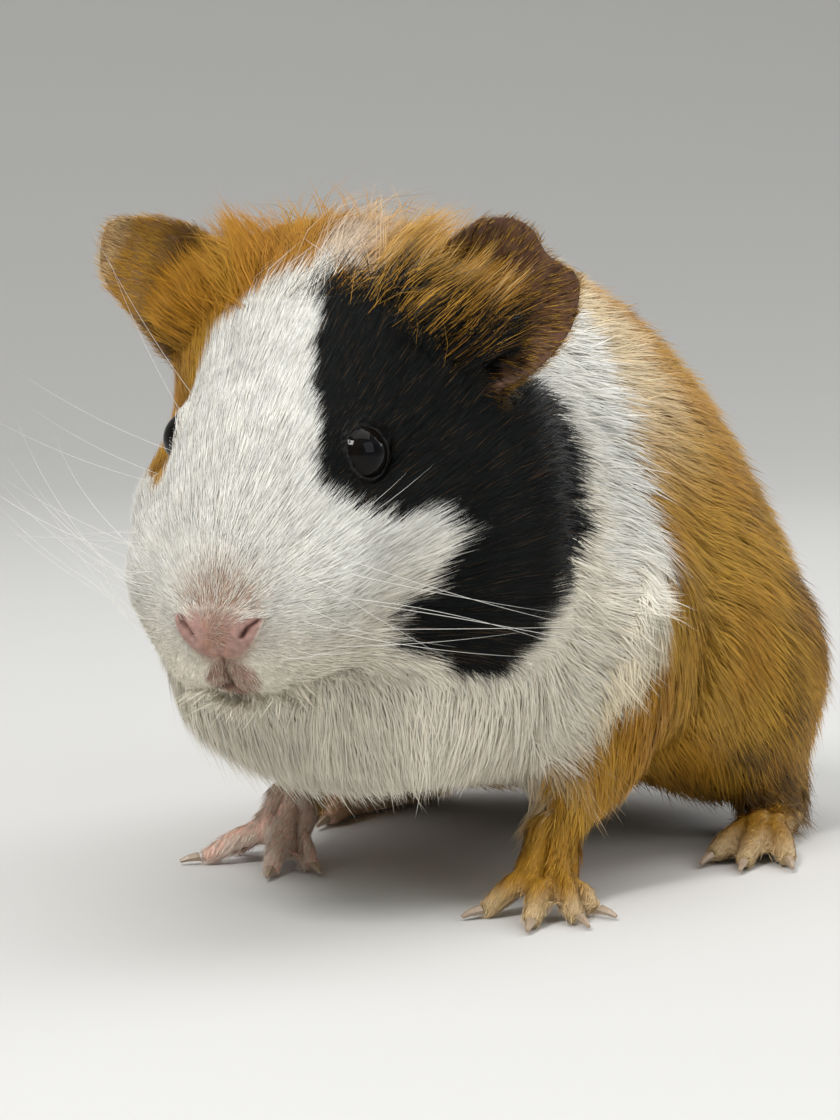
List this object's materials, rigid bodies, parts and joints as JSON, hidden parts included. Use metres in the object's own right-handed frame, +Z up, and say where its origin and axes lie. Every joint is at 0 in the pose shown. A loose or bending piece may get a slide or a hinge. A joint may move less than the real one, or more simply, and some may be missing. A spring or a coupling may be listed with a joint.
{
  "type": "guinea pig",
  "caption": "Still life-size model of a standing guinea pig with a white, black and ginger coat, spread forefeet and ears held out to the sides.",
  "frame": {"origin": "on the ground under the middle of the animal's box", "axes": "+Z up, -Y the way the animal faces, +X its left side"},
  "size_m": [0.112, 0.1832, 0.1159],
  "materials": {
    "white_coat": "short white fur",
    "ginger_coat": "short golden-orange fur with darker and paler patches",
    "ear_skin": "thin bare brown-pink skin with fine hairs",
    "foot_skin": "pink skin with thin short hair",
    "claw": "smooth horn",
    "eye": "wet glossy black"
  },
  "bodies": {
    "root": {"eye_left": "eye", "ear_left": "ear_skin", "forefoot_left": "foot_skin", "hindfoot_left": "foot_skin", "claw_fore_left_1": "claw", "claw_fore_left_2": "claw", "claw_fore_left_3": "claw", "claw_fore_left_4": "claw", "claw_hind_left_1": "claw", "claw_hind_left_2": "claw", "claw_hind_left_3": "claw", "foreleg_left": "ginger_coat", "hindleg_left": "ginger_coat", "eye_right": "eye", "ear_right": "ear_skin", "forefoot_right": "foot_skin", "hindfoot_right": "foot_skin", "claw_fore_right_1": "claw", "claw_fore_right_2": "claw", "claw_fore_right_3": "claw", "claw_fore_right_4": "claw", "claw_hind_right_1": "claw", "claw_hind_right_2": "claw", "claw_hind_right_3": "claw", "foreleg_right": "ginger_coat", "hindleg_right": "ginger_coat", "head": "white_coat", "neck": "white_coat", "trunk": "ginger_coat"}
  },
  "joints": []
}
